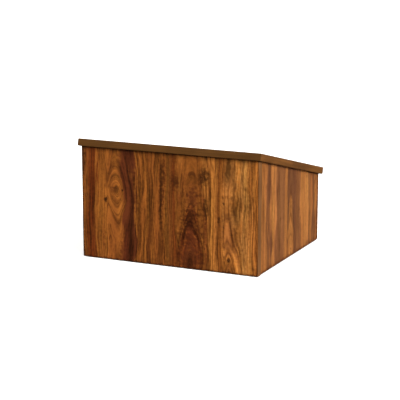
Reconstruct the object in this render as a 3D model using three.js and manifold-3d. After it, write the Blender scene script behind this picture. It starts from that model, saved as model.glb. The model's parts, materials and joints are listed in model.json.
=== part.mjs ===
// A slant-top table stand that holds an open album at a reading slope.
// Laminated boards make a low box that is open at the back, and a larger top slopes down over it.
// Millimetres, +Z up. The origin is on the table under the middle of the stand.
// The tall front faces -Y, and the low edge of the top, with its book stop, faces +Y.

import * as THREE from 'three';
import { mergeVertices } from 'three/addons/utils/BufferGeometryUtils.js';
import Module from 'manifold-3d';

const wasm = await Module();
wasm.setup();

// Overall size to the square corners, before the moulding rounds them off, the slope of the top,
// and how far its edge stands out past the box below.
const standWidth = 590;
const standDepth = 520;
const standHeight = 364;
const slope = THREE.MathUtils.degToRad(14.3);
const frontOverhang = 10;
const sideOverhang = 8;
const backOverhang = 8;

// Board stock, a 19 mm core with a laminate on each face, and the gap between pieces that meet.
const boardThickness = 22;
const fitGap = 0.3;

// Vinyl edge moulding: a face strip with a barbed stem that is pressed into a groove.
const mouldingProud = 2.5;
const mouldingRound = 1.5;
const stemThickness = 1.4;
const stemDepth = 8.5;
const barbReach = 0.35;
const barbPitch = 2.4;
const barbCount = 3;
const grooveWidth = 2.8;
const grooveDepth = 9.5;

// Cam fittings: a cam let into a board face grips the head of a bolt from the next board.
const camRadius = 7.5;
const camHeight = 14.7;
const camRecess = 0.2;
const camPocketRadius = 5.2;
const camRoof = 5;
const camSlotWidth = 5;
const camSetback = 34;
const camBoreDepth = 15.5;
const boltHeadRadius = 3.4;
const boltHeadHalf = 1;
const boltHeadCrown = 1.6;
const boltHeadCone = 1.4;
const boltNeckRadius = 2;
const boltCollarRadius = 3.6;
const boltCollarHeight = 1.6;
const boltCollarCone = 0.6;
const boltThreadRadius = 3;
const boltThreadLength = 7;
const boltPointLength = 2;
const boreOverrun = 0.5;
const boltBoreRadius = 4;

// Beech dowels reach further into the edge of one board than into the face of the other.
const dowelRadius = 4;
const dowelLength = 30;
const dowelInFace = 7;
const dowelChamfer = 1;

// Book stop along the low edge of the top, and the screws that hold it from below.
const stopLength = 400;
const stopHeight = 12;
const stopThickness = 16;
const stopSetback = 10;
const stopGrooveDepth = 2;
const stopRound = 3;
const stopScrewSpacing = 160;
const screwHeadRadius = 4;
const screwHeadRim = 0.4;
const screwHeadHeight = 2.6;
const screwShankRadius = 1.9;
const screwLength = 28;
const screwTipLength = 4;
const screwSlotInset = 1;

// Slots for a driver in the cams and screws.
const driverSlotWidth = 1.4;
const driverSlotDepth = 1.6;

// Nail-on glides under the bottom board.
const glideHeight = 2.5;
const glideRadius = 11;
const glideFaceRadius = 9;
const glideRimInset = 0.5;
const glideRimLow = 0.6;
const glideRimHigh = 1.4;
const glideInset = 34;
const glidePinRadius = 1.2;
const glidePinLength = 13;
const glidePointLength = 2;

// Sides on the round pieces and bores, how far a cutter runs past the face that it opens, and a
// reach longer than the whole stand.
const roundSides = 16;
const smallSides = 12;
const cutterOverrun = 1;
const farAway = 1000;

// Places worked out from the sizes above.
const halfBoard = boardThickness / 2;
const sideOuterX = standWidth / 2 - sideOverhang - mouldingProud;
const sideInnerX = sideOuterX - boardThickness;
const sideMiddleX = sideOuterX - halfBoard;
const frontOuterY = -standDepth / 2 + frontOverhang;
const frontInnerY = frontOuterY + boardThickness;
const frontMiddleY = frontOuterY + halfBoard;
const boardRise = boardThickness * Math.cos(slope);
const boardRun = boardThickness * Math.sin(slope);
const backCoreY = standDepth / 2 - boardRun - backOverhang - mouldingProud;
const bottomZ = glideHeight;
const bottomMiddleZ = bottomZ + halfBoard;
const topLength = (standDepth - boardRun) / Math.cos(slope);

// Joint positions along each seam.
const frontSeamHeights = { cams: [60, 255], dowel: 150 };
const bottomSeamDepths = { cams: [-150, 150], dowel: 0 };
const topSeamReaches = { cams: [115, 405], dowel: 260 };
const frontTopDowelX = 150;
const frontTopDowelShift = 3;
const frontBottomDowelX = 120;

// The slope frame lies on the underside of the top, with its origin at the middle of the front
// edge: x runs across, y down the slope, and z square to the top.
const slopeFrame = new THREE.Matrix4().makeRotationX(-slope);
slopeFrame.setPosition(0, -standDepth / 2, standHeight - boardRise);

const acrossAxis = new THREE.Vector3(1, 0, 0);
const depthAxis = new THREE.Vector3(0, 1, 0);
const upAxis = new THREE.Vector3(0, 0, 1);
const slopeNormal = new THREE.Vector3(0, Math.sin(slope), Math.cos(slope));

const walnutLaminate = new THREE.MeshStandardMaterial({ color: '#84491d', roughness: 0.45, metalness: 0 });
const brownVinyl = new THREE.MeshStandardMaterial({ color: '#6b431f', roughness: 0.5, metalness: 0 });
const stainedWood = new THREE.MeshStandardMaterial({ color: '#6e3d1c', roughness: 0.5, metalness: 0 });
const beech = new THREE.MeshStandardMaterial({ color: '#c79a63', roughness: 0.7, metalness: 0 });
const castZinc = new THREE.MeshStandardMaterial({ color: '#a8a9a6', roughness: 0.4, metalness: 1 });
const platedSteel = new THREE.MeshStandardMaterial({ color: '#b9b4a4', roughness: 0.35, metalness: 1 });
const blackNylon = new THREE.MeshStandardMaterial({ color: '#1d1c1b', roughness: 0.6, metalness: 0 });

const stand = new THREE.Group();
const boards = new Map();

function toSolid(geometry) {
  const bare = geometry.clone();
  bare.deleteAttribute('normal');
  bare.deleteAttribute('uv');
  const merged = mergeVertices(bare);
  return new wasm.Manifold(new wasm.Mesh({
    numProp: 3,
    vertProperties: Float32Array.from(merged.attributes.position.array),
    triVerts: Uint32Array.from(merged.index.array),
  }));
}

function toGeometry(solid) {
  const mesh = solid.getMesh();
  const geometry = new THREE.BufferGeometry();
  geometry.setAttribute('position', new THREE.BufferAttribute(mesh.vertProperties, 3));
  geometry.setIndex(new THREE.BufferAttribute(mesh.triVerts, 1));
  geometry.computeVertexNormals();
  return geometry;
}

function cutAway(blank, cutters) {
  let solid = toSolid(blank);
  for (const cutter of cutters) {
    solid = solid.subtract(toSolid(cutter));
  }
  return toGeometry(solid);
}

// Adds a named piece whose own frame is set down at `placement`.
function addPiece(name, geometry, material, placement) {
  const piece = new THREE.Mesh(geometry, material);
  piece.name = name;
  placement.decompose(piece.position, piece.quaternion, piece.scale);
  stand.add(piece);
}

// A frame at `position` with z along `axis` and y along `upward`, which are square to each other.
function frameAt(position, axis, upward) {
  const side = upward.clone().cross(axis);
  return new THREE.Matrix4().makeBasis(side, upward, axis).setPosition(position);
}

function block(low, high) {
  const [width, depth, height] = low.map((value, i) => high[i] - value);
  const [x, y, z] = low.map((value, i) => (value + high[i]) / 2);
  return new THREE.BoxGeometry(width, depth, height).translate(x, y, z);
}

// A round bar along z, from one height to another.
function bar(radius, lowZ, highZ) {
  const geometry = new THREE.CylinderGeometry(radius, radius, highZ - lowZ, roundSides);
  return geometry.rotateX(Math.PI / 2).translate(0, 0, (lowZ + highZ) / 2);
}

// A turned piece about z, from [radius, height] points that run up from the axis and back to it.
function turned(points, sides) {
  const outline = points.map(([radius, height]) => new THREE.Vector2(radius, height));
  return new THREE.LatheGeometry(outline, sides).rotateX(Math.PI / 2);
}

// All the space over the top's underside, for trimming what stands below it.
function spaceOverUnderside() {
  const space = block([-farAway, -farAway, -fitGap], [farAway, farAway, farAway]);
  return space.applyMatrix4(slopeFrame);
}

// Boards. Cutters are gathered in the stand's frame as the joints are laid out.
function addBoard(name, low, high, placement) {
  boards.set(name, { blank: block(low, high), placement, cutters: [] });
}

function cutFromBoard(name, cutter) {
  boards.get(name).cutters.push(cutter);
}

function layOutBoards() {
  const level = new THREE.Matrix4();
  const halfTop = standWidth / 2 - mouldingProud;
  addBoard(
    'top_panel',
    [-halfTop, mouldingProud, 0],
    [halfTop, topLength - mouldingProud, boardThickness],
    slopeFrame,
  );
  addBoard(
    'front_panel',
    [-sideOuterX, frontOuterY, bottomZ],
    [sideOuterX, frontInnerY, standHeight],
    level,
  );
  for (const [side, sign] of [['left', -1], ['right', 1]]) {
    const xs = [sign * sideInnerX, sign * sideOuterX].sort((a, b) => a - b);
    addBoard(
      `${side}_side_panel`,
      [xs[0], frontInnerY + fitGap, bottomZ],
      [xs[1], backCoreY, standHeight],
      level,
    );
    cutFromBoard(`${side}_side_panel`, spaceOverUnderside());
  }
  cutFromBoard('front_panel', spaceOverUnderside());
  addBoard(
    'bottom_panel',
    [fitGap - sideInnerX, frontInnerY + fitGap, bottomZ],
    [sideInnerX - fitGap, backCoreY, bottomZ + boardThickness],
    level,
  );
}

function finishBoards() {
  for (const [name, { blank, placement, cutters }] of boards) {
    const geometry = cutAway(blank.applyMatrix4(placement), cutters);
    geometry.applyMatrix4(placement.clone().invert());
    addPiece(name, geometry, walnutLaminate, placement);
  }
}

// Edge moulding. Its section has x across the board's edge and y out of the board.
function mouldingSection() {
  const stem = stemThickness / 2;
  const roundX = halfBoard - mouldingRound;
  const roundY = mouldingProud - mouldingRound;
  const barbTips = Array.from({ length: barbCount }, (_, i) => (i + 1) * barbPitch - stemDepth);
  const section = new THREE.Shape();
  section.moveTo(stem, fitGap);
  section.lineTo(halfBoard, fitGap);
  section.absarc(roundX, roundY, mouldingRound, 0, Math.PI / 2);
  section.absarc(-roundX, roundY, mouldingRound, Math.PI / 2, Math.PI);
  section.lineTo(-halfBoard, fitGap);
  section.lineTo(-stem, fitGap);
  for (const y of barbTips.toReversed()) {
    section.lineTo(-stem - barbReach, y);
    section.lineTo(-stem, y - barbPitch / 2);
  }
  section.lineTo(-stem, -stemDepth);
  section.lineTo(stem, -stemDepth);
  for (const y of barbTips) {
    section.lineTo(stem, y - barbPitch / 2);
    section.lineTo(stem + barbReach, y);
  }
  return section;
}

// Cuts both ends of a run at 45 degrees, so that its face is as long as the run.
function mitreCutters(length) {
  const angle = Math.PI / 4;
  return [1, -1].map((end) => {
    const beyond = block([-farAway, -farAway, 0], [farAway, farAway, farAway]);
    beyond.rotateX(end > 0 ? angle : Math.PI - angle);
    return beyond.translate(0, mouldingProud, end * (length / 2 - fitGap));
  });
}

// A run of moulding, centred at `placement` with its length along z, and its groove in the board.
function addMoulding(name, board, length, placement, trims) {
  const settings = { depth: length, bevelEnabled: false, curveSegments: 4 };
  const run = new THREE.ExtrudeGeometry(mouldingSection(), settings).translate(0, 0, -length / 2);
  const toRun = placement.clone().invert();
  const cutters = trims === 'mitred'
    ? mitreCutters(length)
    : trims.map((trim) => trim.applyMatrix4(toRun));
  addPiece(name, cutAway(run, cutters), brownVinyl, placement);
  const halfGroove = grooveWidth / 2;
  const groove = block([-halfGroove, -grooveDepth, -farAway], [halfGroove, farAway, farAway]);
  cutFromBoard(board, groove.applyMatrix4(placement));
}

function addTopMouldings() {
  const outX = standWidth / 2 - mouldingProud;
  const runs = [
    ['front', [0, mouldingProud], acrossAxis, [0, -1], standWidth],
    ['back', [0, topLength - mouldingProud], acrossAxis, [0, 1], standWidth],
    ['left', [-outX, topLength / 2], depthAxis, [-1, 0], topLength],
    ['right', [outX, topLength / 2], depthAxis, [1, 0], topLength],
  ];
  for (const [edge, [x, y], along, outward, length] of runs) {
    const position = new THREE.Vector3(x, y, halfBoard);
    const frame = frameAt(position, along, new THREE.Vector3(...outward, 0));
    addMoulding(`top_moulding_${edge}`, 'top_panel', length, frame.premultiply(slopeFrame), 'mitred');
  }
}

function addBoxMouldings() {
  const middleZ = bottomZ + standHeight / 2;
  for (const [side, sign] of [['left', -1], ['right', 1]]) {
    const atFront = new THREE.Vector3(sign * sideOuterX, frontMiddleY, middleZ);
    const outward = acrossAxis.clone().multiplyScalar(sign);
    const frontFrame = frameAt(atFront, upAxis, outward);
    const trims = () => [spaceOverUnderside()];
    addMoulding(`front_moulding_${side}`, 'front_panel', standHeight, frontFrame, trims());
    const atBack = new THREE.Vector3(sign * sideMiddleX, backCoreY, middleZ);
    const backFrame = frameAt(atBack, upAxis, depthAxis);
    addMoulding(`back_moulding_${side}`, `${side}_side_panel`, standHeight, backFrame, trims());
  }
  const atBottom = new THREE.Vector3(0, backCoreY, bottomMiddleZ);
  const bottomFrame = frameAt(atBottom, acrossAxis, depthAxis);
  addMoulding('bottom_panel_moulding', 'bottom_panel', 2 * (sideInnerX - fitGap), bottomFrame, []);
}

// A crossed driver slot in a face that looks along z at height `faceZ`.
function driverSlots(radius, faceZ) {
  const half = driverSlotWidth / 2;
  const lowZ = faceZ - driverSlotDepth;
  const highZ = faceZ + cutterOverrun;
  return [
    block([-radius, -half, lowZ], [radius, half, highZ]),
    block([-half, -radius, lowZ], [half, radius, highZ]),
  ];
}

// A cam: a cup that is open below for the bolt's head, and slotted towards +y for its neck.
function camBody() {
  const halfSlot = camSlotWidth / 2;
  const slotRoof = -halfBoard + camRecess + halfSlot;
  const below = -camHeight - cutterOverrun;
  return cutAway(bar(camRadius, -camHeight, 0), [
    bar(camPocketRadius, below, -camRoof),
    block([-halfSlot, 0, below], [halfSlot, camRadius + cutterOverrun, slotRoof]),
    ...driverSlots(camPocketRadius, 0),
  ]);
}

// A cam bolt along z: its thread is above z = 0, and its neck and head are in the next board.
function boltBody() {
  const headBottom = -camSetback - boltHeadHalf;
  const headTop = -camSetback + boltHeadHalf;
  const neckTop = -boltCollarHeight - boltCollarCone;
  return turned([
    [0, headBottom - boltHeadCrown],
    [boltHeadRadius, headBottom],
    [boltHeadRadius, headTop],
    [boltNeckRadius, headTop + boltHeadCone],
    [boltNeckRadius, neckTop],
    [boltCollarRadius, -boltCollarHeight],
    [boltCollarRadius, -fitGap],
    [boltThreadRadius, 0],
    [boltThreadRadius, boltThreadLength - boltPointLength],
    [0, boltThreadLength],
  ], smallSides);
}

// Joins the edge of one board to the face of another at `seam`, on the edge board's middle plane.
// `into` points into the face board, and `camSide` out of the face that the cam is let into.
function addCamJoint(name, edgeBoard, faceBoard, seam, into, camSide) {
  const camPlace = seam.clone().addScaledVector(into, -camSetback);
  camPlace.addScaledVector(camSide, halfBoard - camRecess);
  const camFrame = frameAt(camPlace, camSide, into);
  const boltFrame = frameAt(seam, into, camSide);
  addPiece(`${name}_cam`, camBody(), castZinc, camFrame);
  addPiece(`${name}_bolt`, boltBody(), platedSteel, boltFrame);
  const camBore = bar(camRadius + fitGap, -camBoreDepth, cutterOverrun);
  const neckBore = bar(boltBoreRadius, -camSetback, cutterOverrun);
  const threadBore = bar(boltThreadRadius + fitGap, -cutterOverrun, boltThreadLength + boreOverrun);
  cutFromBoard(edgeBoard, camBore.applyMatrix4(camFrame));
  cutFromBoard(edgeBoard, neckBore.applyMatrix4(boltFrame));
  cutFromBoard(faceBoard, threadBore.applyMatrix4(boltFrame));
}

function dowelBody() {
  const low = dowelInFace - dowelLength;
  return turned([
    [0, low],
    [dowelRadius - dowelChamfer, low],
    [dowelRadius, low + dowelChamfer],
    [dowelRadius, dowelInFace - dowelChamfer],
    [dowelRadius - dowelChamfer, dowelInFace],
    [0, dowelInFace],
  ], smallSides);
}

function addDowel(name, edgeBoard, faceBoard, seam, into, sideways) {
  const frame = frameAt(seam, into, sideways);
  addPiece(`${name}_dowel`, dowelBody(), beech, frame);
  const low = dowelInFace - dowelLength - boreOverrun;
  const hole = bar(dowelRadius + fitGap, low, dowelInFace + boreOverrun);
  cutFromBoard(edgeBoard, hole.clone().applyMatrix4(frame));
  cutFromBoard(faceBoard, hole.applyMatrix4(frame));
}

// The seams of one side panel, with the front, the bottom and the top.
function addSideJoints(side, sign) {
  const sidePanel = `${side}_side_panel`;
  const outward = acrossAxis.clone().multiplyScalar(sign);
  const inward = outward.clone().negate();
  const forward = depthAxis.clone().negate();
  const down = upAxis.clone().negate();
  const frontSeam = (z) => new THREE.Vector3(sign * sideMiddleX, frontInnerY, z);
  const bottomSeam = (y) => new THREE.Vector3(sign * sideInnerX, y, bottomMiddleZ);
  const topSeam = (y) => new THREE.Vector3(sign * sideMiddleX, y, 0).applyMatrix4(slopeFrame);
  for (const [i, z] of frontSeamHeights.cams.entries()) {
    addCamJoint(`${side}_front_${i + 1}`, sidePanel, 'front_panel', frontSeam(z), forward, inward);
  }
  for (const [i, y] of bottomSeamDepths.cams.entries()) {
    addCamJoint(`${side}_bottom_${i + 1}`, 'bottom_panel', sidePanel, bottomSeam(y), outward, down);
  }
  for (const [i, y] of topSeamReaches.cams.entries()) {
    addCamJoint(`${side}_top_${i + 1}`, sidePanel, 'top_panel', topSeam(y), slopeNormal, inward);
  }
  addDowel(`${side}_front`, sidePanel, 'front_panel', frontSeam(frontSeamHeights.dowel), forward, inward);
  addDowel(`${side}_bottom`, 'bottom_panel', sidePanel, bottomSeam(bottomSeamDepths.dowel), outward, down);
  addDowel(`${side}_top`, sidePanel, 'top_panel', topSeam(topSeamReaches.dowel), slopeNormal, inward);
}

// Dowels that place the front panel against the top and the bottom. The top's dowels lean with
// the slope, so they start behind the panel's middle and stay inside its thickness.
function addFrontDowels(side, sign) {
  const seamY = (frontMiddleY + frontTopDowelShift + standDepth / 2) / Math.cos(slope);
  const underTop = new THREE.Vector3(sign * frontTopDowelX, seamY, 0).applyMatrix4(slopeFrame);
  addDowel(`front_top_${side}`, 'front_panel', 'top_panel', underTop, slopeNormal, acrossAxis);
  const atBottom = new THREE.Vector3(sign * frontBottomDowelX, frontInnerY, bottomMiddleZ);
  const forward = depthAxis.clone().negate();
  addDowel(`front_bottom_${side}`, 'bottom_panel', 'front_panel', atBottom, forward, acrossAxis);
}

// The book stop: a strip with rounded upper edges, seated in a shallow groove in the top.
function stopBody() {
  const half = stopThickness / 2;
  const foot = fitGap - stopGrooveDepth;
  const section = new THREE.Shape();
  section.moveTo(-half, foot);
  section.lineTo(half, foot);
  section.absarc(half - stopRound, stopHeight - stopRound, stopRound, 0, Math.PI / 2);
  section.absarc(stopRound - half, stopHeight - stopRound, stopRound, Math.PI / 2, Math.PI);
  const settings = { depth: stopLength, bevelEnabled: false, curveSegments: 4 };
  const strip = new THREE.ExtrudeGeometry(section, settings).translate(0, 0, -stopLength / 2);
  return strip.rotateX(Math.PI / 2).rotateZ(Math.PI / 2);
}

// A countersunk screw along z, with its head's flat at z = 0.
function screwBody() {
  const screw = turned([
    [0, 0],
    [screwHeadRadius, 0],
    [screwHeadRadius, screwHeadRim],
    [screwShankRadius, screwHeadHeight],
    [screwShankRadius, screwLength - screwTipLength],
    [0, screwLength],
  ], smallSides);
  const slots = driverSlots(screwHeadRadius - screwSlotInset, 0);
  for (const slot of slots) {
    slot.rotateX(Math.PI);
  }
  return cutAway(screw, slots);
}

function screwHole() {
  const headRadius = screwHeadRadius + fitGap;
  const shankRadius = screwShankRadius + fitGap;
  const end = screwLength + boreOverrun;
  return turned([
    [0, -cutterOverrun],
    [headRadius, -cutterOverrun],
    [headRadius, screwHeadRim + fitGap],
    [shankRadius, screwHeadHeight + fitGap],
    [shankRadius, end],
    [0, end],
  ], smallSides);
}

function addBookStop() {
  const seatY = topLength - mouldingProud - stopSetback - stopThickness / 2;
  const seat = new THREE.Vector3(0, seatY, boardThickness);
  const stopFrame = new THREE.Matrix4().setPosition(seat).premultiply(slopeFrame);
  const holes = [];
  for (const [i, sign] of [-1, 0, 1].entries()) {
    const headPlace = new THREE.Vector3(sign * stopScrewSpacing, seatY, fitGap);
    const screwFrame = new THREE.Matrix4().setPosition(headPlace).premultiply(slopeFrame);
    addPiece(`book_stop_screw_${i + 1}`, screwBody(), platedSteel, screwFrame);
    cutFromBoard('top_panel', screwHole().applyMatrix4(screwFrame));
    holes.push(screwHole().applyMatrix4(stopFrame.clone().invert().multiply(screwFrame)));
  }
  addPiece('book_stop', cutAway(stopBody(), holes), stainedWood, stopFrame);
  const halfLength = stopLength / 2 + fitGap;
  const halfWidth = stopThickness / 2 + fitGap;
  const groove = block([-halfLength, -halfWidth, -stopGrooveDepth], [halfLength, halfWidth, stopHeight]);
  cutFromBoard('top_panel', groove.applyMatrix4(stopFrame));
}

// A glide: a low disc with rounded rim, and a pin that is driven up into the bottom board.
function glideBody() {
  const discTop = glideHeight - fitGap;
  return turned([
    [0, 0],
    [glideFaceRadius, 0],
    [glideRadius - glideRimInset, glideRimLow],
    [glideRadius, glideRimHigh],
    [glideRadius, discTop],
    [glidePinRadius, discTop],
    [glidePinRadius, discTop + glidePinLength - glidePointLength],
    [0, discTop + glidePinLength],
  ], roundSides);
}

function addGlides() {
  const x = sideInnerX - glideInset;
  for (const [depthName, y] of [['front', frontInnerY + glideInset], ['back', backCoreY - glideInset]]) {
    for (const [side, sign] of [['left', -1], ['right', 1]]) {
      const frame = new THREE.Matrix4().makeTranslation(sign * x, y, 0);
      addPiece(`glide_${depthName}_${side}`, glideBody(), blackNylon, frame);
      const pinHole = bar(glidePinRadius + fitGap, 0, glideHeight + glidePinLength + boreOverrun);
      cutFromBoard('bottom_panel', pinHole.applyMatrix4(frame));
    }
  }
}

layOutBoards();
addTopMouldings();
addBoxMouldings();
for (const [side, sign] of [['left', -1], ['right', 1]]) {
  addSideJoints(side, sign);
  addFrontDowels(side, sign);
}
addBookStop();
addGlides();
finishBoards();

export default stand;
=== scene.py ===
"""Looks for the slant-top album stand: laminated boards, vinyl moulding, fittings, light and camera."""

import json
import math

import bmesh
import bpy
from mathutils import Matrix, Vector


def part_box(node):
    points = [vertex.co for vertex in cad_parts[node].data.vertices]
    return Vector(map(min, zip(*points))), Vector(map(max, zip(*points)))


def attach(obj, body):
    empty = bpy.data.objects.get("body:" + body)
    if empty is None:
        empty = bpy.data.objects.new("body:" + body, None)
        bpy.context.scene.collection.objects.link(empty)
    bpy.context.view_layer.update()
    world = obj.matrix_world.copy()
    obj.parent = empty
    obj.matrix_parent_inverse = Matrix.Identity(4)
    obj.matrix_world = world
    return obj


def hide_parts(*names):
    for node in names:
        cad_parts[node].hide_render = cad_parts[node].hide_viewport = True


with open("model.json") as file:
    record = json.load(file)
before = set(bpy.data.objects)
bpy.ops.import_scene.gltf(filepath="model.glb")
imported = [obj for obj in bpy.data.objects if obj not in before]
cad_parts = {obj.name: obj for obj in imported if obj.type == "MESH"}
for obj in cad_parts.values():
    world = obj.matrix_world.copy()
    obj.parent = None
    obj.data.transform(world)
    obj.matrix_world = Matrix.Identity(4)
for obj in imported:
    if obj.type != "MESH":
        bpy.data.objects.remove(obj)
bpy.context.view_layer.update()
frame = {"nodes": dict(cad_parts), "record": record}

MM = 0.001
ACROSS = Vector((1, 0, 0))
DEPTH = Vector((0, 1, 0))
UP = Vector((0, 0, 1))
MOUNTS = {mount["name"]: mount for mount in frame["record"]["mounts"]}
SLOPE_OUT = Vector(MOUNTS["reading_slope"]["axis"])
SLOPE_DOWN = SLOPE_OUT.cross(ACROSS)

# Camera: the tall front and the right side, from a little above.
CAMERA_AZIMUTH = math.radians(24.91)
CAMERA_ELEVATION = math.radians(12.45)
CAMERA_DISTANCE = 4.367
CAMERA_LENS_MM = 127.6
CAMERA_AIM = Vector((-8.1, -10.3, 152.9)) * MM

# Board stock: a chip core between two laminate skins, with lightly eased arrises.
BOARD = 22 * MM
SKIN = 1.2 * MM
CHIP = 3 * MM
ARRIS = 0.4 * MM

# Edge moulding: a crowned face strip on a barbed stem.
MOULDING_PROUD = 2.5 * MM
MOULDING_ROUND = 1.5 * MM
MOULDING_CROWN = 0.2 * MM
MOULDING_SEAM = 0.15 * MM
MOULDING_EDGE = 0.3 * MM
STEM = 1.4 * MM
STEM_DEPTH = 8.5 * MM
BARB_REACH = 0.35 * MM
BARB_PITCH = 2.4 * MM
BARB_COUNT = 3

# Fittings.
CAM_RADIUS = 7.5 * MM
CAM_HEIGHT = 14.7 * MM
CAM_SLOT = 5 * MM
SCREW_HEAD = 4 * MM
SCREW_LENGTH = 28 * MM
GLIDE_RADIUS = 11 * MM
GLIDE_HEIGHT = 2.2 * MM

# Fineness: flats round a turned piece, steps round a quarter turn, and what counts as an edge.
TURNED_SIDES = 48
ROUND_STEPS = 8
SHARP_ANGLE = math.radians(35)


# Shapes

def corners(node):
    """A node's lowest and highest corners."""
    low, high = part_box(node)
    return Vector(low), Vector(high)


def centre(node):
    """The middle of a node's box."""
    low, high = corners(node)
    return (low + high) / 2


def basis(origin, along_z, along_y):
    """A frame at origin with the given z and y directions."""
    along_x = along_y.cross(along_z)
    turn = Matrix((along_x, along_y, along_z)).transposed()
    return Matrix.Translation(origin) @ turn.to_4x4()


def make_piece(name, mesh, material, replaced):
    """Adds a piece to the scene, riding on the stand in place of its CAD node."""
    mesh.materials.clear()
    mesh.materials.append(material)
    piece = bpy.data.objects.new(name, mesh)
    bpy.context.scene.collection.objects.link(piece)
    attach(piece, "root")
    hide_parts(replaced)
    return piece


def smooth_shaded(mesh):
    """The mesh with smooth faces and crisp edges."""
    for face in mesh.polygons:
        face.use_smooth = True
    mesh.set_sharp_from_angle(angle=SHARP_ANGLE)
    return mesh


def turned_mesh(name, outline):
    """A turned mesh about z from (radius, height) points that start and end on the axis."""
    build = bmesh.new()
    rings = []
    turns = [2 * math.pi * i / TURNED_SIDES for i in range(TURNED_SIDES)]
    for radius, height in outline:
        if radius == 0:
            ring = [build.verts.new((0, 0, height))] * TURNED_SIDES
        else:
            points = [(radius * math.cos(turn), radius * math.sin(turn), height) for turn in turns]
            ring = [build.verts.new(point) for point in points]
        rings.append(ring)
    for lower, upper in zip(rings, rings[1:]):
        for i in range(TURNED_SIDES):
            j = (i + 1) % TURNED_SIDES
            loop = [lower[i], lower[j], upper[j], upper[i]]
            build.faces.new(list(dict.fromkeys(loop)))
    bmesh.ops.recalc_face_normals(build, faces=build.faces)
    mesh = bpy.data.meshes.new(name)
    build.to_mesh(mesh)
    build.free()
    return mesh


def wedge_mesh(name, low, high, taper=1.0):
    """A box from low to high whose lower face is scaled by taper."""
    build = bmesh.new()
    low, high = Vector(low), Vector(high)
    middle = (low + high) / 2
    verts = []
    for z, scale in ((low.z, taper), (high.z, 1.0)):
        for x, y in ((low.x, low.y), (high.x, low.y), (high.x, high.y), (low.x, high.y)):
            flat = (middle.x + (x - middle.x) * scale, middle.y + (y - middle.y) * scale)
            verts.append(build.verts.new((*flat, z)))
    build.faces.new(verts[3::-1])
    build.faces.new(verts[4:])
    for i in range(4):
        j = (i + 1) % 4
        build.faces.new((verts[i], verts[j], verts[j + 4], verts[i + 4]))
    mesh = bpy.data.meshes.new(name)
    build.to_mesh(mesh)
    build.free()
    return mesh


def carved(mesh, cutters):
    """The mesh with each cutter mesh taken out of it."""
    scene = bpy.context.scene
    blank = bpy.data.objects.new("blank", mesh)
    scene.collection.objects.link(blank)
    helpers = []
    for cutter in cutters:
        helper = bpy.data.objects.new("cutter", cutter)
        scene.collection.objects.link(helper)
        helpers.append(helper)
        cut = blank.modifiers.new("cut", "BOOLEAN")
        cut.operation = "DIFFERENCE"
        cut.solver = "EXACT"
        cut.object = helper
    bpy.context.view_layer.update()
    view = bpy.context.evaluated_depsgraph_get()
    result = bpy.data.meshes.new_from_object(blank.evaluated_get(view))
    for helper in (*helpers, blank):
        bpy.data.objects.remove(helper)
    return result


# Boards: the CAD meshes, with their arrises eased.

def ease_edges(node, width=ARRIS):
    """Eases the sharp edges of a CAD node, with modifiers that leave its mesh as it is."""
    piece = frame["nodes"][node]
    weld = piece.modifiers.new("weld", "WELD")
    weld.merge_threshold = 0.01 * MM
    flats = piece.modifiers.new("flats", "DECIMATE")
    flats.decimate_type = "DISSOLVE"
    flats.angle_limit = math.radians(1)
    bevel = piece.modifiers.new("eased", "BEVEL")
    bevel.width = width
    bevel.segments = 2
    bevel.limit_method = "ANGLE"
    bevel.angle_limit = math.radians(50)


# Moulding

def moulding_section():
    """The moulding's outline, as (x across the board's edge, y out of the board)."""
    half = BOARD / 2
    stem = STEM / 2
    round_x = half - MOULDING_ROUND
    round_y = MOULDING_PROUD - MOULDING_CROWN - MOULDING_ROUND
    right = [(stem, MOULDING_SEAM), (half, MOULDING_SEAM)]
    for i in range(ROUND_STEPS + 1):
        angle = math.pi / 2 * i / ROUND_STEPS
        x = round_x + MOULDING_ROUND * math.cos(angle)
        right.append((x, round_y + MOULDING_ROUND * math.sin(angle)))
    for i in range(1, ROUND_STEPS):
        x = round_x * (1 - i / ROUND_STEPS)
        right.append((x, MOULDING_PROUD - MOULDING_CROWN * (x / round_x) ** 2))
    barbs = []
    for i in range(BARB_COUNT):
        tip = (i + 1) * BARB_PITCH - STEM_DEPTH
        barbs.append((stem, tip - BARB_PITCH / 2))
        barbs.append((stem + BARB_REACH, tip))
    inner = [(stem, -STEM_DEPTH), *barbs]
    one_side = inner + right
    mirrored = [(-x, y) for x, y in reversed(one_side)]
    return one_side + [(0, MOULDING_PROUD)] + mirrored


def moulding_mesh(name, placement, start, end):
    """Sweeps the section along local z. start and end give each section point's z."""
    section = moulding_section()
    build = bmesh.new()
    rings = []
    for reach in (start, end):
        rings.append([build.verts.new(placement @ Vector((x, y, reach(x, y)))) for x, y in section])
    count = len(section)
    for i in range(count):
        j = (i + 1) % count
        build.faces.new((rings[0][i], rings[0][j], rings[1][j], rings[1][i]))
    build.faces.new(rings[0])
    build.faces.new(rings[1])
    bmesh.ops.recalc_face_normals(build, faces=build.faces)
    mesh = bpy.data.meshes.new(name)
    build.to_mesh(mesh)
    build.free()
    return smooth_shaded(mesh)


def square_end(reach):
    """An end cut square, at reach along the run."""
    return lambda x, y: reach


def mitred_end(way, half_run):
    """A mitred end, at the start (way -1) or the finish (way 1) of a run about its middle."""
    return lambda x, y: way * (half_run + y - MOULDING_SEAM / 2)


def add_moulding(name, placement, start, end, material):
    """Adds one run in place of its CAD node, with its cut ends eased."""
    mesh = moulding_mesh(f"{name}_strip", placement, start, end)
    piece = make_piece(f"{name}_strip", mesh, material, name)
    bevel = piece.modifiers.new("eased ends", "BEVEL")
    bevel.width = MOULDING_EDGE
    bevel.segments = 3
    bevel.limit_method = "ANGLE"
    bevel.angle_limit = math.radians(40)


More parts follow.
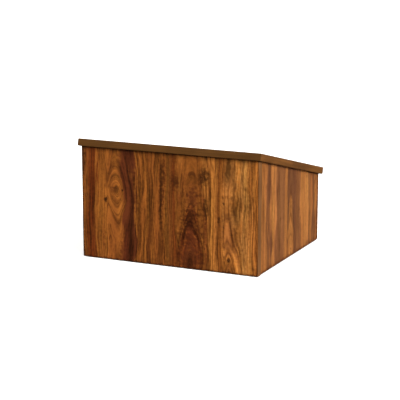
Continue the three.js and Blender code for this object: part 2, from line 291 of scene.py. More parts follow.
def top_core():
    """The middle of the top board, and half its width and length inside the moulding."""
    low, high = corners("top_panel")
    length = (high.y - low.y - BOARD * SLOPE_OUT.y) / SLOPE_OUT.z
    middle = Vector(MOUNTS["reading_slope"]["pos_m"]) - SLOPE_OUT * BOARD / 2
    return middle, (high.x - low.x) / 2, length / 2


def add_top_mouldings(finishes):
    """Four runs round the top, mitred where they meet."""
    middle, half_width, half_length = top_core()
    runs = (
        ("front", -SLOPE_DOWN, ACROSS, half_length, half_width),
        ("back", SLOPE_DOWN, ACROSS, half_length, half_width),
        ("left", -ACROSS, SLOPE_DOWN, half_width, half_length),
        ("right", ACROSS, SLOPE_DOWN, half_width, half_length),
    )
    for edge, outward, along, reach, half_run in runs:
        placement = basis(middle + outward * reach, along, outward)
        start, end = mitred_end(-1, half_run), mitred_end(1, half_run)
        finish = finishes["across"] if along == ACROSS else finishes["down"]
        add_moulding(f"top_moulding_{edge}", placement, start, end, finish)


def add_upright_moulding(name, origin, outward, finish):
    """An upright run from the bottom of the box to the underside of the top."""
    placement = basis(origin, UP, outward)
    middle, _, _ = top_core()
    underside = middle - SLOPE_OUT * (BOARD / 2 + MOULDING_SEAM)

    def top_end(x, y):
        foot = placement @ Vector((x, y, 0))
        return (underside - foot).dot(SLOPE_OUT) / SLOPE_OUT.z

    add_moulding(name, placement, square_end(0), top_end, finish)


def add_box_mouldings(finishes):
    """Upright runs on the front board and the side boards, and one on the bottom board."""
    low, high = corners("front_panel")
    for side, x, outward in (("left", low.x, -ACROSS), ("right", high.x, ACROSS)):
        origin = Vector((x, (low.y + high.y) / 2, low.z))
        add_upright_moulding(f"front_moulding_{side}", origin, outward, finishes["up"])
        side_low, side_high = corners(f"{side}_side_panel")
        origin = Vector(((side_low.x + side_high.x) / 2, side_high.y, side_low.z))
        add_upright_moulding(f"back_moulding_{side}", origin, DEPTH, finishes["up"])
    low, high = corners("bottom_panel")
    placement = basis(Vector((0, high.y, (low.z + high.z) / 2)), ACROSS, DEPTH)
    start, end = square_end(low.x), square_end(high.x)
    add_moulding("bottom_panel_moulding", placement, start, end, finishes["across"])


# Fittings

def cross_cutters(radius, depth):
    """Two tapered slots that cross, cut down from z = 0."""
    half_width = 0.9 * MM
    above = 0.5 * MM
    taper = 0.6
    return [
        wedge_mesh("slot", (-radius, -half_width, -depth), (radius, half_width, above), taper),
        wedge_mesh("slot", (-half_width, -radius, -depth), (half_width, radius, above), taper),
    ]


def cam_mesh():
    """A cast cam: a chamfered cup with a raised rim, a driver cross and a slot for the bolt."""
    rim = 0.5 * MM
    well = 0.35 * MM
    head = 5 * MM
    pocket = CAM_RADIUS - 2.3 * MM
    slot_height = 6 * MM
    cross_reach = CAM_RADIUS - 3 * MM
    cross_depth = 2.4 * MM
    outline = [
        (0, -CAM_HEIGHT),
        (CAM_RADIUS - rim, -CAM_HEIGHT),
        (CAM_RADIUS, -CAM_HEIGHT + rim),
        (CAM_RADIUS, -rim),
        (CAM_RADIUS - rim, 0),
        (CAM_RADIUS - 3 * rim, 0),
        (CAM_RADIUS - 4 * rim, -well),
        (0, -well),
    ]
    cup = [
        (0, -CAM_HEIGHT - well),
        (pocket, -CAM_HEIGHT - well),
        (pocket, -head),
        (0, -head),
    ]
    slot_low = (-CAM_SLOT / 2, 0, -CAM_HEIGHT - well)
    slot_high = (CAM_SLOT / 2, CAM_RADIUS + well, -CAM_HEIGHT + slot_height)
    cutters = [
        turned_mesh("pocket", cup),
        wedge_mesh("slot", slot_low, slot_high),
        *cross_cutters(cross_reach, cross_depth),
    ]
    return smooth_shaded(carved(turned_mesh("cam", outline), cutters))


def screw_mesh():
    """A countersunk screw along -z, with its head's flat at z = 0 and a rolled thread as ridges."""
    shank = 1.6 * MM
    thread = 1.9 * MM
    pitch = 1.4 * MM
    tip = 0.5 * MM
    tip_length = 1 * MM
    point_length = 4 * MM
    plain_length = 5 * MM
    cone_height = 2.8 * MM
    rim_low = 0.35 * MM
    rim_high = 0.1 * MM
    rim_ease = 0.15 * MM
    cross_reach = 2.2 * MM
    cross_depth = 1.7 * MM
    outline = [(0, -SCREW_LENGTH), (tip, -SCREW_LENGTH + tip_length)]
    z = -SCREW_LENGTH + point_length
    while z < -plain_length:
        outline += [(shank, z), (thread, z + pitch / 3), (shank, z + pitch * 2 / 3)]
        z += pitch
    outline += [
        (shank, -cone_height),
        (SCREW_HEAD, -rim_low),
        (SCREW_HEAD, -rim_high),
        (SCREW_HEAD - rim_ease, 0),
        (0, 0),
    ]
    blank = turned_mesh("screw", outline)
    return smooth_shaded(carved(blank, cross_cutters(cross_reach, cross_depth)))


def glide_mesh():
    """A nail-on glide: a low dome with a flat foot, and a pointed pin above it."""
    pin = 1.2 * MM
    pin_top = GLIDE_HEIGHT + 13 * MM
    pin_point = 2 * MM
    bulge = 2 * MM
    bulge_height = 1.4 * MM
    rim_ease = 0.2 * MM
    foot = GLIDE_RADIUS - bulge
    outline = [(0, 0)]
    for i in range(ROUND_STEPS + 1):
        angle = math.pi / 2 * i / ROUND_STEPS
        outline.append((foot + bulge * math.sin(angle), bulge_height * (1 - math.cos(angle))))
    outline += [
        (GLIDE_RADIUS, GLIDE_HEIGHT - rim_ease),
        (GLIDE_RADIUS - rim_ease, GLIDE_HEIGHT),
        (pin, GLIDE_HEIGHT),
        (pin, pin_top - pin_point),
        (0, pin_top),
    ]
    return smooth_shaded(turned_mesh("glide", outline))


def add_cams(finish):
    """Cams face into the box from the sides, and down from the bottom board."""
    master = cam_mesh()
    for side, outward in (("left", -ACROSS), ("right", ACROSS)):
        seams = (
            ("front", -outward, -DEPTH),
            ("top", -outward, SLOPE_OUT),
            ("bottom", -UP, outward),
        )
        for seam, facing, towards_bolt in seams:
            for number in (1, 2):
                node = f"{side}_{seam}_{number}_cam"
                face = centre(node) + facing * CAM_HEIGHT / 2
                mesh = master.copy()
                mesh.transform(basis(face, facing, towards_bolt))
                make_piece(f"{node}_cast", mesh, finish, node)


def add_screws(finish):
    """Three screws that rise square to the slope, from under the top into the book stop."""
    master = screw_mesh()
    for number in (1, 2, 3):
        node = f"book_stop_screw_{number}"
        head = centre(node) - SLOPE_OUT * SCREW_LENGTH / 2
        mesh = master.copy()
        mesh.transform(basis(head, -SLOPE_OUT, ACROSS))
        make_piece(f"{node}_steel", mesh, finish, node)


def add_glides(finish):
    """Four glides with their feet on the floor and their pins up in the bottom board."""
    master = glide_mesh()
    for end in ("front", "back"):
        for side in ("left", "right"):
            node = f"glide_{end}_{side}"
            foot = centre(node)
            mesh = master.copy()
            mesh.transform(Matrix.Translation((foot.x, foot.y, 0)))
            make_piece(f"{node}_moulded", mesh, finish, node)


# Finishes

# The colour mix node's two colour inputs, and the float mix node's two values.
COLOUR_A, COLOUR_B = 6, 7
FLOAT_A, FLOAT_B = 2, 3

# The print's inks: wild grain from the darkest knot to the palest streak, then calmer browns.
INKS = {
    "pith": "#1f0e05",
    "bark": "#3f1d0a",
    "umber": "#532712",
    "russet": "#6a3111",
    "brown": "#774119",
    "olive": "#74451a",
    "mauve": "#774524",
    "amber": "#8c501e",
    "honey": "#a9672b",
    "straw": "#bd7d3c",
    "taupe": "#55331d",
    "fawn": "#6b4224",
    "tan": "#7f4e25",
    "buff": "#8f5b2d",
}

# The print's streaks: width across the grain and length along it in mm, and the noise's detail.
# Their order sets their seeds.
STREAKS = {
    "broad": (26, 520, 2.0),
    "middle": (9, 260, 2.0),
    "narrow": (3.5, 130, 2.0),
    "fibre": (1.4, 55, 2.0),
    "mood": (15, 300, 2.0),
    "pore": (2.4, 30, 0.0),
    "feather": (14, 110, 2.0),
    "vein": (15, 420, 2.0),
}
# How strongly four of them lighten and darken the ground.
STREAK_STRENGTHS = {"broad": 1.0, "middle": 2.3, "narrow": 2.0, "fibre": 1.0}


def linear(code):
    """An sRGB hex colour as linear RGBA."""
    values = [int(code[i:i + 2], 16) / 255 for i in (1, 3, 5)]
    channels = [c / 12.92 if c <= 0.04045 else ((c + 0.055) / 1.055) ** 2.4 for c in values]
    return (*channels, 1.0)


def feed(tree, node, inputs):
    """Sets or links a node's inputs. A node given as a value stands for its first live output."""
    for key, value in inputs.items():
        if isinstance(value, bpy.types.Node):
            value = next(socket for socket in value.outputs if socket.enabled)
        if isinstance(value, bpy.types.NodeSocket):
            tree.links.new(value, node.inputs[key])
        else:
            node.inputs[key].default_value = value


def add(tree, kind, inputs, stops=(), **settings):
    """Adds a node with its settings, its inputs, and a colour ramp's (place, colour) stops."""
    node = tree.nodes.new(kind)
    for name, value in settings.items():
        setattr(node, name, value)
    feed(tree, node, inputs)
    for number, (place, colour) in enumerate(stops):
        elements = node.color_ramp.elements
        element = elements[number] if number < 2 else elements.new(place)
        element.position = place
        element.color = colour
    return node


def new_finish(name):
    """A new material: itself, its nodes, and each point's place on the stand."""
    material = bpy.data.materials.new(name)
    material.use_nodes = True
    tree = material.node_tree
    return material, tree, add(tree, "ShaderNodeTexCoord", {}).outputs["Object"]


def dress(tree, colour, roughness, height, bump_strength, bump_mm):
    """Feeds a material's shader with its colour, roughness and bump."""
    relief = {"Strength": bump_strength, "Distance": bump_mm * MM, "Height": height}
    bump = add(tree, "ShaderNodeBump", relief)
    surface = {"Base Color": colour, "Roughness": roughness, "Normal": bump}
    feed(tree, tree.nodes["Principled BSDF"], surface)


def inked(codes):
    """Ramp stops in linear colour from (place, sRGB code) pairs."""
    return [(place, linear(code)) for place, code in codes]


def measure(tree, place, direction):
    """How far each point lies along a direction, in mm."""
    along = {0: place, 1: direction / MM}
    return add(tree, "ShaderNodeVectorMath", along, operation="DOT_PRODUCT").outputs["Value"]


def streaks(tree, label, run, width, length, seed, detail=2.0):
    """Noise from 0 to 1 in streaks width mm wide across the grain and length mm long."""
    x = add(tree, "ShaderNodeMath", {0: label, 1: 1 / width}, operation="MULTIPLY")
    y = add(tree, "ShaderNodeMath", {0: run, 1: 1 / length}, operation="MULTIPLY")
    vector = add(tree, "ShaderNodeCombineXYZ", {"X": x, "Y": y, "Z": seed})
    return add(tree, "ShaderNodeTexNoise", {"Vector": vector, "Scale": 1.0, "Detail": detail}).outputs["Fac"]


def weighted(tree, base, parts):
    """The base plus weight times the distance from middle of each (value, weight, middle)."""
    total = base
    for value, weight, middle in parts:
        scaled = {0: value, 1: weight, 2: -weight * middle}
        part = add(tree, "ShaderNodeMath", scaled, operation="MULTIPLY_ADD")
        total = add(tree, "ShaderNodeMath", {0: total, 1: part}, operation="ADD")
    return total


def grain_rings(tree, plane, label, figures):
    """Bends the grain's label into oval rings, which open into arches above and below."""
    for x, z, patch, ring_width, ring_height in figures:
        offset = add(tree, "ShaderNodeVectorMath", {0: plane, 1: (x, z, 0)}, operation="SUBTRACT")
        sides = add(tree, "ShaderNodeSeparateXYZ", {"Vector": offset})
        rise = add(tree, "ShaderNodeMath", {0: sides.outputs["Y"], 1: 1 / ring_height}, operation="MULTIPLY")
        rise = add(tree, "ShaderNodeMath", {0: rise}, operation="TANH")
        rise = add(tree, "ShaderNodeMath", {0: rise, 1: ring_width}, operation="MULTIPLY")
        oval = add(tree, "ShaderNodeCombineXYZ", {"X": sides.outputs["X"], "Y": rise})
        ring = add(tree, "ShaderNodeVectorMath", {0: oval}, operation="LENGTH").outputs["Value"]
        ring = weighted(tree, x, ((ring, 1.0, 0.0),))
        off_axis = add(tree, "ShaderNodeMath", {0: sides.outputs["X"]}, operation="ABSOLUTE")
        inside = {"Value": off_axis, "From Min": patch, "From Max": patch / 3}
        share = add(tree, "ShaderNodeMapRange", inside, interpolation_type="SMOOTHSTEP")
        label = add(tree, "ShaderNodeMix", {0: share, FLOAT_A: label, FLOAT_B: ring}, data_type="FLOAT")
    return label


def stained(tree, plane, colour, marks):
    """Lays soft stains and knots of an ink over the print, and painted shade along some edges, with outlines
    broken up by blotches.
    """
    blotch = 9
    raggedness = 2.4
    core, rim = 0.2, 1.25
    blotches = add(tree, "ShaderNodeTexNoise", {"Vector": plane, "Scale": 1 / blotch, "Detail": 3.0})
    for x, z, half_width, half_height, ink, strength in marks:
        offset = add(tree, "ShaderNodeVectorMath", {0: plane, 1: (x, z, 0)}, operation="SUBTRACT")
        shrink = {0: offset, 1: (1 / half_width, 1 / half_height, 0)}
        local = add(tree, "ShaderNodeVectorMath", shrink, operation="MULTIPLY")
        reach = add(tree, "ShaderNodeVectorMath", {0: local}, operation="LENGTH").outputs["Value"]
        reach = weighted(tree, reach, ((blotches, raggedness, 0.5),))
        fade = {"Value": reach, "From Min": rim, "From Max": core, "To Max": strength}
        share = add(tree, "ShaderNodeMapRange", fade, interpolation_type="SMOOTHSTEP")
        inks = {0: share, COLOUR_A: colour, COLOUR_B: linear(INKS[ink])}
        colour = add(tree, "ShaderNodeMix", inks, data_type="RGBA")
    return colour


def print_streaks(tree, label, v, seed):
    """The print's streaks by name, drawn along the bent grain."""
    return {
        name: streaks(tree, label, v, width, length, seed + step, detail)
        for step, (name, (width, length, detail)) in enumerate(STREAKS.items(), 1)
    }


def print_ground(tree, plane, arched, grain, look):
    """The bands of ink, bent by the arches and feathered, and the stains, knots and painted shade over them.
    """
    feather_mm = 60.0
    fray_mm = 24.0
    ragged = weighted(tree, arched, (
        (grain["feather"], feather_mm, 0.5),
        (grain["narrow"], fray_mm, 0.5),
    ))
    zones = look["zones"]
    first, last = zones[0][0], zones[-1][0]
    span = add(tree, "ShaderNodeMapRange", {"Value": ragged, "From Min": first, "From Max": last})
    bands = [((x - first) / (last - first), linear(INKS[ink])) for x, ink in zones]
    ground = add(tree, "ShaderNodeValToRGB", {"Fac": span}, bands)
    return stained(tree, plane, ground, look["marks"])


def print_tone(tree, grain, fleck, ground, look):
    """The ground made lighter and darker along the grain, and slightly redder and yellower."""
    parts = []
    for name, strength in STREAK_STRENGTHS.items():
        parts.append((grain[name], look["contrast"] * strength, 0.5))
    parts.append((fleck, look["fleck"], 0.5))
    value = weighted(tree, 1.0, parts)
    value = add(tree, "ShaderNodeClamp", {"Value": value, "Min": 0.3, "Max": 1.7})
    turn = {"Value": grain["mood"], "From Min": 0.3, "From Max": 0.7, "To Min": 0.496, "To Max": 0.503}
    hue = add(tree, "ShaderNodeMapRange", turn)
    return add(tree, "ShaderNodeHueSaturation", {"Hue": hue, "Value": value, "Color": ground})


def print_lines(tree, grain):
    """How dark the pores (short dashes) and veins (long thin lines) are at each point."""
    darkness = 0.6
    vein_width = 0.03
    dashes = {"Value": grain["pore"], "From Min": 0.66, "From Max": 0.76, "To Max": darkness}
    pores = add(tree, "ShaderNodeMapRange", dashes)
    from_middle = weighted(tree, 0.0, ((grain["vein"], 1.0, 0.5),))
    from_middle = add(tree, "ShaderNodeMath", {0: from_middle}, operation="ABSOLUTE")
    contour = {"Value": from_middle, "From Max": vein_width, "To Min": darkness, "To Max": 0.0}
    veins = add(tree, "ShaderNodeMapRange", contour)
    return add(tree, "ShaderNodeMath", {0: pores, 1: veins}, operation="MAXIMUM")


def walnut_print(tree, u, v, look, seed):
    """The printed walnut's colour, and the fibre that its gloss and relief follow."""
    drift_mm = 50.0
    wobble_mm = 14.0
    drift = streaks(tree, u, v, 90, 420, seed)
    wobble = streaks(tree, u, v, 40, 90, seed + 9)
    fleck = streaks(tree, u, v, 7, 10, seed + 11)
    across = weighted(tree, u, ((drift, drift_mm, 0.5), (wobble, wobble_mm, 0.5)))
    plane = add(tree, "ShaderNodeCombineXYZ", {"X": across, "Y": v})
    arched = grain_rings(tree, plane, across, look["arches"])
    label = grain_rings(tree, plane, arched, look["eyes"])
    grain = print_streaks(tree, label, v, seed)
    ground = print_ground(tree, plane, arched, grain, look)
    toned = print_tone(tree, grain, fleck, ground, look)
    lines = print_lines(tree, grain)
    inks = {0: lines, COLOUR_A: toned, COLOUR_B: linear(INKS["bark"])}
    return add(tree, "ShaderNodeMix", inks, data_type="RGBA"), grain["fibre"]


def raw_edge(tree, place, thickness, middle):
    """Where a face is a sawn edge (1) and not laminate (0), its colour, and its height."""
    normal = add(tree, "ShaderNodeTexCoord", {}).outputs["Normal"]
    turned = {0: normal, 1: thickness}
    facing = add(tree, "ShaderNodeVectorMath", turned, operation="DOT_PRODUCT").outputs["Value"]
    facing = add(tree, "ShaderNodeMath", {0: facing}, operation="ABSOLUTE")
    raw = add(tree, "ShaderNodeMath", {0: facing, 1: 0.5}, operation="LESS_THAN")
    depth = weighted(tree, 0.0, ((measure(tree, place, thickness), 1.0, middle.dot(thickness) / MM),))
    depth = add(tree, "ShaderNodeMath", {0: depth}, operation="ABSOLUTE")
    skin = add(tree, "ShaderNodeMath", {0: depth, 1: (BOARD / 2 - SKIN) / MM}, operation="GREATER_THAN")
    chips = add(tree, "ShaderNodeTexVoronoi", {"Vector": place, "Scale": 1 / CHIP})
    tint = add(tree, "ShaderNodeSeparateColor", {"Color": chips.outputs["Color"]})
    shades = inked(((0.0, "#7d5b39"), (0.5, "#a98358"), (1.0, "#c9a676")))
    core = add(tree, "ShaderNodeValToRGB", {"Fac": tint}, shades)
    inks = {0: skin, COLOUR_A: core, COLOUR_B: linear("#2c1a10")}
    return raw, add(tree, "ShaderNodeMix", inks, data_type="RGBA"), chips.outputs["Distance"]


def walnut_laminate(name, across, along, thickness, middle, look, seed):
    """High-pressure laminate printed with wild-grained walnut, on a chip core.

    The print gives bands of orange and dark brown that flow round knots and close into arches,
    under a satin melamine face. Raw edges show the chips and the dark backs of the two skins.
    across and along are the print's directions and thickness the board's, through its middle.
    """
    material, tree, place = new_finish(name)
    u = measure(tree, place, across)
    v = measure(tree, place, along)
    printed, fibre = walnut_print(tree, u, v, look, seed)
    raw, edge, chips = raw_edge(tree, place, thickness, middle)
    colour = add(tree, "ShaderNodeMix", {0: raw, COLOUR_A: printed, COLOUR_B: edge}, data_type="RGBA")
    satin = add(tree, "ShaderNodeMapRange", {"Value": fibre, "To Min": 0.42, "To Max": 0.54})
    roughness = add(tree, "ShaderNodeMix", {0: raw, FLOAT_A: satin, FLOAT_B: 0.9}, data_type="FLOAT")
    height = add(tree, "ShaderNodeMix", {0: raw, FLOAT_A: fibre, FLOAT_B: chips}, data_type="FLOAT")
    tree.nodes["Principled BSDF"].inputs["Specular IOR Level"].default_value = 0.15
    dress(tree, colour, roughness, height, bump_strength=0.12, bump_mm=0.15)
    return material


def brown_vinyl(name, along, sideways, outward, codes):
    """Extruded PVC edge moulding in flat brown: satin, with faint drawn lines along its length.

    The lines are counted along one slanted direction across the run, so they show on its face
    and on its edges alike.
    """
    slant = 0.9
    material, tree, place = new_finish(name)
    run = measure(tree, place, along)
    across = measure(tree, place, sideways + outward * slant)
    lines = streaks(tree, across, run, 1.2, 260, 3.0)
    cloud = streaks(tree, across, run, 40, 120, 8.0)
    tone = weighted(tree, lines, ((cloud, 0.8, 0.5),))
    colour = add(tree, "ShaderNodeValToRGB", {"Fac": tone}, inked(zip((0.3, 0.5, 0.7), codes)))
    satin = add(tree, "ShaderNodeMapRange", {"Value": lines, "To Min": 0.42, "To Max": 0.55})
    tree.nodes["Principled BSDF"].inputs["Specular IOR Level"].default_value = 0.3
    dress(tree, colour, satin, lines, bump_strength=0.15, bump_mm=0.1)
    return material


def vinyl_finishes():
    """The moulding's finish along each way that it runs: the upright runs get a lighter copy of the same
    brown, painted light for the light that falls on the box's upright corners.
    """
    return {
        "across": brown_vinyl(
            "brown_vinyl_across", ACROSS, SLOPE_DOWN, SLOPE_OUT, ("#4a2d0c", "#553512", "#613d18"),
        ),
        "down": brown_vinyl(
            "brown_vinyl_down_the_slope", SLOPE_DOWN, ACROSS, SLOPE_OUT, ("#43280f", "#553415", "#66401c"),
        ),
        # The upright runs' lighter browns are painted light: the same vinyl as the other runs, lightened for
        # the light that catches the upright corners.
        "up": brown_vinyl(
            "brown_vinyl_upright_painted_lighter", UP, ACROSS, DEPTH, ("#4f3119", "#603d20", "#704a2a"),
        ),
    }


def plain_wood(name, along, across, codes, roughness, seed):
    """Straight-grained solid wood in three shades, for the book stop and the dowels."""
    material, tree, place = new_finish(name)
    u = measure(tree, place, across)
    v = measure(tree, place, along)
    fine = streaks(tree, u, v, 1.2, 40, seed + 1)
    tone = weighted(tree, streaks(tree, u, v, 5, 140, seed), ((fine, 0.6, 0.5),))
    colour = add(tree, "ShaderNodeValToRGB", {"Fac": tone}, inked(codes))
    spread = 0.08
    satin = {"Value": tone, "To Min": roughness - spread, "To Max": roughness + spread}
    gloss = add(tree, "ShaderNodeMapRange", satin)
    dress(tree, colour, gloss, tone, bump_strength=0.2, bump_mm=0.1)
    return material


def mottled_metal(name, codes, grain, low_roughness, high_roughness):
    """Metal with a faintly mottled skin, plated or cast, whose grain is given in mm."""
    material, tree, place = new_finish(name)
    tone = add(tree, "ShaderNodeTexNoise", {"Vector": place, "Scale": 1 / (grain * MM), "Detail": 4.0})
    colour = add(tree, "ShaderNodeValToRGB", {"Fac": tone}, inked(codes))
    satin = {"Value": tone, "To Min": low_roughness, "To Max": high_roughness}
    gloss = add(tree, "ShaderNodeMapRange", satin)
    tree.nodes["Principled BSDF"].inputs["Metallic"].default_value = 1.0
    dress(tree, colour, gloss, tone, bump_strength=0.2, bump_mm=0.1)
    return material


def black_nylon():
    """Moulded nylon: near black and matt, with a fine spark-eroded texture."""
    material, tree, place = new_finish("black_nylon_moulded")
    grain = 0.8 * MM
    spark = add(tree, "ShaderNodeTexNoise", {"Vector": place, "Scale": 1 / grain, "Detail": 3.0})
    stops = inked(((0.3, "#151413"), (0.6, "#232120"), (0.8, "#35322f")))
    colour = add(tree, "ShaderNodeValToRGB", {"Fac": spark}, stops)
    gloss = add(tree, "ShaderNodeMapRange", {"Value": spark, "To Min": 0.5, "To Max": 0.75})
    dress(tree, colour, gloss, spark, bump_strength=0.3, bump_mm=0.1)
    return material


# The print on each board, in mm. Contrast is the strength of the grain's streaks, and fleck that
# of the short flecks across them. Zones are (place across the grain, ink). Eyes and arches are
# (across, along, half width of the patch, half width and half height of the last closed ring).
# Marks are (across, along, half width, half height, ink, strength) of knots, stains and pale patches, and of
# painted shade: the dark band along the foot of the front and side boards and the dark strip down the
# front's left edge.
# The flat print is the one on the top and bottom boards.

FRONT_PRINT = {
    "contrast": 1.2,
    "fleck": 1.0,
    "zones": (
        (-290, "brown"), (-276, "brown"), (-262, "russet"), (-242, "russet"), (-232, "amber"),
        (-205, "amber"), (-180, "brown"), (-160, "amber"), (-146, "umber"), (-118, "umber"),
        (-108, "amber"), (-78, "amber"), (-66, "brown"), (-46, "amber"), (-30, "brown"),
        (-10, "amber"), (10, "olive"), (50, "brown"), (70, "brown"), (92, "russet"),
        (104, "amber"), (116, "brown"), (124, "olive"), (134, "honey"), (160, "honey"),
        (172, "brown"), (200, "amber"), (226, "honey"), (240, "straw"), (268, "honey"),
        (290, "amber"),
    ),
    "arches": (
        (70, -10, 84, 46, 230),
        (196, -10, 40, 24, 70),
    ),
    "eyes": (
        (-170, 215, 70, 36, 70),
    ),
    "marks": (
        (-255, 60, 20, 120, "russet", 0.5),
        (-128, 180, 19, 150, "umber", 0.8),
        (-150, 20, 20, 70, "umber", 0.75),
        (-140, 320, 20, 60, "umber", 0.7),
        (-206, 184, 6, 12, "pith", 0.95),
        (-176, 214, 9, 16, "bark", 0.6),
        (-152, 216, 5, 6, "pith", 0.9),
        (-20, 228, 11, 120, "bark", 0.85),
        (22, 258, 18, 28, "bark", 0.8),
        (72, 205, 17, 60, "umber", 0.75),
        (72, 110, 32, 90, "umber", 0.8),
        (72, 30, 44, 60, "umber", 0.8),
        (68, 150, 22, 34, "bark", 0.7),
        (64, 90, 16, 24, "bark", 0.6),
        (100, 284, 26, 32, "pith", 0.85),
        (110, 185, 12, 38, "pith", 0.7),
        (106, 110, 7, 40, "bark", 0.5),
        (184, 206, 5, 5, "pith", 0.95),
        (166, 157, 6, 14, "pith", 0.8),
        (204, 275, 26, 80, "straw", 0.6),
        (64, 310, 40, 50, "amber", 0.7),
        (200, 110, 30, 90, "mauve", 0.6),
        (197, 40, 6, 10, "pith", 0.8),
        (257, 180, 3, 130, "bark", 0.5),
        (270, 190, 3, 260, "bark", 0.5),
        (280, 15, 10, 25, "bark", 0.4),
        # Painted shade: a dark strip down the front board's left edge, away from the key light.
        (-286, 170, 6, 400, "pith", 0.8),
        # Painted shade: a dark band along the foot of the board, where it meets the floor.
        (0, 1, 900, 7, "bark", 0.8),
    ),
}
SIDE_PRINT = {
    "contrast": 0.5,
    "fleck": 0.5,
    "zones": (
        (-245, "fawn"), (-232, "tan"), (-190, "tan"), (-176, "fawn"), (-168, "taupe"),
        (-156, "taupe"), (-144, "tan"), (-124, "buff"), (-112, "fawn"), (-80, "fawn"),
        (-44, "fawn"), (-20, "tan"), (12, "buff"), (36, "tan"), (42, "taupe"),
        (56, "taupe"), (66, "fawn"), (90, "fawn"), (98, "tan"), (150, "buff"),
        (165, "fawn"), (190, "tan"), (204, "taupe"), (218, "taupe"), (226, "tan"),
        (245, "fawn"),
    ),
    "arches": (
        (12, -10, 66, 30, 130),
    ),
    "eyes": (
        (150, 190, 26, 10, 60),
    ),
    "marks": (
        (12, 190, 14, 50, "bark", 0.5),
        (158, 190, 8, 60, "fawn", 0.6),
        (-205, 130, 14, 120, "fawn", 0.3),
        (-243, 170, 5, 400, "bark", 0.85),
        (243, 170, 5, 400, "bark", 0.85),
        # Painted shade: a dark band along the foot of the board, where it meets the floor.
        (0, 1, 900, 11, "bark", 0.85),
    ),
}
FLAT_PRINT = {
    "contrast": 1.0,
    "fleck": 0.9,
    "zones": (
        (-300, "brown"), (-240, "amber"), (-200, "honey"), (-170, "amber"), (-120, "russet"),
        (-100, "brown"), (-40, "amber"), (0, "honey"), (40, "olive"), (70, "brown"), (110, "amber"),
        (170, "honey"), (200, "brown"), (225, "russet"), (250, "amber"), (300, "brown"),
    ),
    "arches": (
        (-80, -200, 90, 50, 200),
    ),
    "eyes": (
        (140, 110, 70, 30, 60),
    ),
    "marks": (
        (60, -190, 5, 9, "pith", 0.8),
        (140, 110, 7, 12, "bark", 0.7),
        (-80, 40, 26, 110, "russet", 0.5),
        (-20, 180, 5, 120, "bark", 0.5),
    ),
}


def finish_boards():
    """Eases each board and gives it its own print, with the grain the way its sheet was cut."""
    top_middle, _, _ = top_core()
    boards = {
        "front_panel": (ACROSS, UP, DEPTH, centre("front_panel"), FRONT_PRINT, 1.0),
        "right_side_panel": (DEPTH, UP, ACROSS, centre("right_side_panel"), SIDE_PRINT, 21.0),
        "left_side_panel": (-DEPTH, UP, ACROSS, centre("left_side_panel"), SIDE_PRINT, 41.0),
        "top_panel": (SLOPE_DOWN, ACROSS, SLOPE_OUT, top_middle, FLAT_PRINT, 61.0),
        "bottom_panel": (DEPTH, ACROSS, UP, centre("bottom_panel"), FLAT_PRINT, 81.0),
    }
    for node, settings in boards.items():
        ease_edges(node)
        laminate = walnut_laminate(f"walnut_laminate_{node}", *settings)
        frame["nodes"][node].material_slots[0].material = laminate


def finish_fittings():
    """Gives the book stop, dowels and bolts their finishes, and adds the finer fittings."""
    stop = plain_wood("stained_beech_book_stop", ACROSS, SLOPE_DOWN, (
        (0.25, "#3f200d"), (0.5, "#62361a"), (0.75, "#7c4a25"),
    ), roughness=0.38, seed=5.0)
    ease_edges("book_stop", 0.6 * MM)
    frame["nodes"]["book_stop"].material_slots[0].material = stop
    beech = plain_wood("beech_dowel", UP, ACROSS, (
        (0.25, "#a9794a"), (0.5, "#c79a66"), (0.75, "#ddb885"),
    ), roughness=0.7, seed=15.0)
    zinc_plate = mottled_metal("zinc_plated_steel", (
        (0.3, "#b4b2a8"), (0.5, "#c6c3b6"), (0.7, "#d6d3c8"),
    ), grain=1.5, low_roughness=0.25, high_roughness=0.4)
    cast_zinc = mottled_metal("tumbled_zinc_casting", (
        (0.3, "#8e8f8d"), (0.5, "#a5a6a4"), (0.7, "#b9bab7"),
    ), grain=0.9, low_roughness=0.35, high_roughness=0.55)
    for name, piece in frame["nodes"].items():
        if name.endswith("_dowel"):
            piece.material_slots[0].material = beech
            ease_edges(name, 0.3 * MM)
        if name.endswith("_bolt"):
            piece.material_slots[0].material = zinc_plate
            ease_edges(name, 0.15 * MM)
    add_cams(cast_zinc)
    add_screws(zinc_plate)
    add_glides(black_nylon())


# Studio

def glow_round_the_stand(tree, place, strength):
    """The floor's glow: its strength outside the boards' footprint, and 0 under them."""
    front_low, front_high = corners("front_panel")
    _, back_high = corners("bottom_panel")
    middle = Vector((0, (front_low.y + back_high.y) / 2, 0))
    offset = add(tree, "ShaderNodeVectorMath", {0: place, 1: middle}, operation="SUBTRACT")
    offset = add(tree, "ShaderNodeVectorMath", {0: offset}, operation="ABSOLUTE")
    sides = add(tree, "ShaderNodeSeparateXYZ", {"Vector": offset})
    out_x = add(tree, "ShaderNodeMath", {0: sides.outputs["X"], 1: front_high.x}, operation="GREATER_THAN")
    half_depth = middle.y - front_low.y
    out_y = add(tree, "ShaderNodeMath", {0: sides.outputs["Y"], 1: half_depth}, operation="GREATER_THAN")
    outside = add(tree, "ShaderNodeMath", {0: out_x, 1: out_y}, operation="MAXIMUM")
    return add(tree, "ShaderNodeMath", {0: outside, 1: strength}, operation="MULTIPLY")


def add_floor():
    """A wide pale floor that glows a little, and throws no light or reflection on the stand."""
    reach = 40
    build = bmesh.new()
    square = ((-reach, -reach), (reach, -reach), (reach, reach), (-reach, reach))
    build.faces.new([build.verts.new((x, y, 0)) for x, y in square])
    mesh = bpy.data.meshes.new("floor")
    build.to_mesh(mesh)
    build.free()
    material, tree, place = new_finish("pale_studio_paper")
    glow = glow_round_the_stand(tree, place, strength=0.5)
    feed(tree, tree.nodes["Principled BSDF"], {
        "Base Color": linear("#e8e7e5"),
        "Roughness": 0.9,
        "Emission Color": linear("#ffffff"),
        "Emission Strength": glow,
    })
    mesh.materials.append(material)
    floor = bpy.data.objects.new("floor", mesh)
    floor.visible_diffuse = False
    floor.visible_glossy = False
    bpy.context.scene.collection.objects.link(floor)


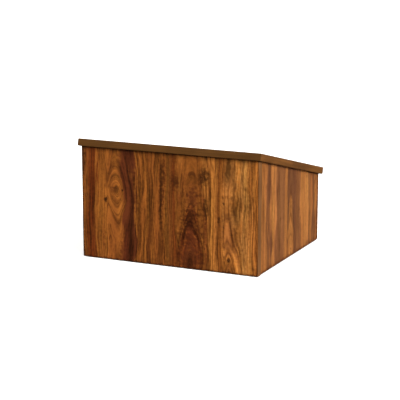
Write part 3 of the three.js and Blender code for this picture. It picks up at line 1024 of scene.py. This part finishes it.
def add_sun(name, source, strength, spread):
    """A soft distant light that shines from a direction, its disc spread degrees wide."""
    data = bpy.data.lights.new(name, "SUN")
    data.energy = strength
    data.angle = math.radians(spread)
    lamp = bpy.data.objects.new(name, data)
    lamp.rotation_euler = Vector(source).to_track_quat("Z", "Y").to_euler()
    lamp.visible_glossy = False
    bpy.context.scene.collection.objects.link(lamp)


def light_studio():
    """A broad key light from the right, a fill from behind on the left, and a pale sky.

    The sky weakens towards the horizon and is faint below it.
    """
    scene = bpy.context.scene
    world = bpy.data.worlds.new("studio")
    world.use_nodes = True
    tree = world.node_tree
    place = add(tree, "ShaderNodeTexCoord", {}).outputs["Generated"]
    height = add(tree, "ShaderNodeSeparateXYZ", {"Vector": place}).outputs["Z"]
    fade = {"Value": height, "From Min": -0.1, "From Max": 0.3, "To Min": 0.06, "To Max": 0.4}
    sky = add(tree, "ShaderNodeMapRange", fade)
    feed(tree, tree.nodes["Background"], {"Color": linear("#ffffff"), "Strength": sky})
    scene.world = world
    scene.view_settings.view_transform = "Standard"
    add_sun("key", (2.3, -0.95, 1.3), strength=7.4, spread=38)
    add_sun("back_fill", (-1.0, 1.3, 0.4), strength=4.0, spread=60)


def add_camera():
    """The camera, at its distance from the aim, level from side to side."""
    data = bpy.data.cameras.new("camera")
    data.lens = CAMERA_LENS_MM
    data.clip_end = 200
    camera = bpy.data.objects.new("camera", data)
    level = math.cos(CAMERA_ELEVATION)
    towards_camera = Vector((
        math.sin(CAMERA_AZIMUTH) * level,
        -math.cos(CAMERA_AZIMUTH) * level,
        math.sin(CAMERA_ELEVATION),
    ))
    camera.location = CAMERA_AIM + towards_camera * CAMERA_DISTANCE
    camera.rotation_euler = (math.pi / 2 - CAMERA_ELEVATION, 0, CAMERA_AZIMUTH)
    bpy.context.scene.collection.objects.link(camera)
    bpy.context.scene.camera = camera


add_camera()
light_studio()
add_floor()
vinyl = vinyl_finishes()
add_top_mouldings(vinyl)
add_box_mouldings(vinyl)
finish_boards()
finish_fittings()
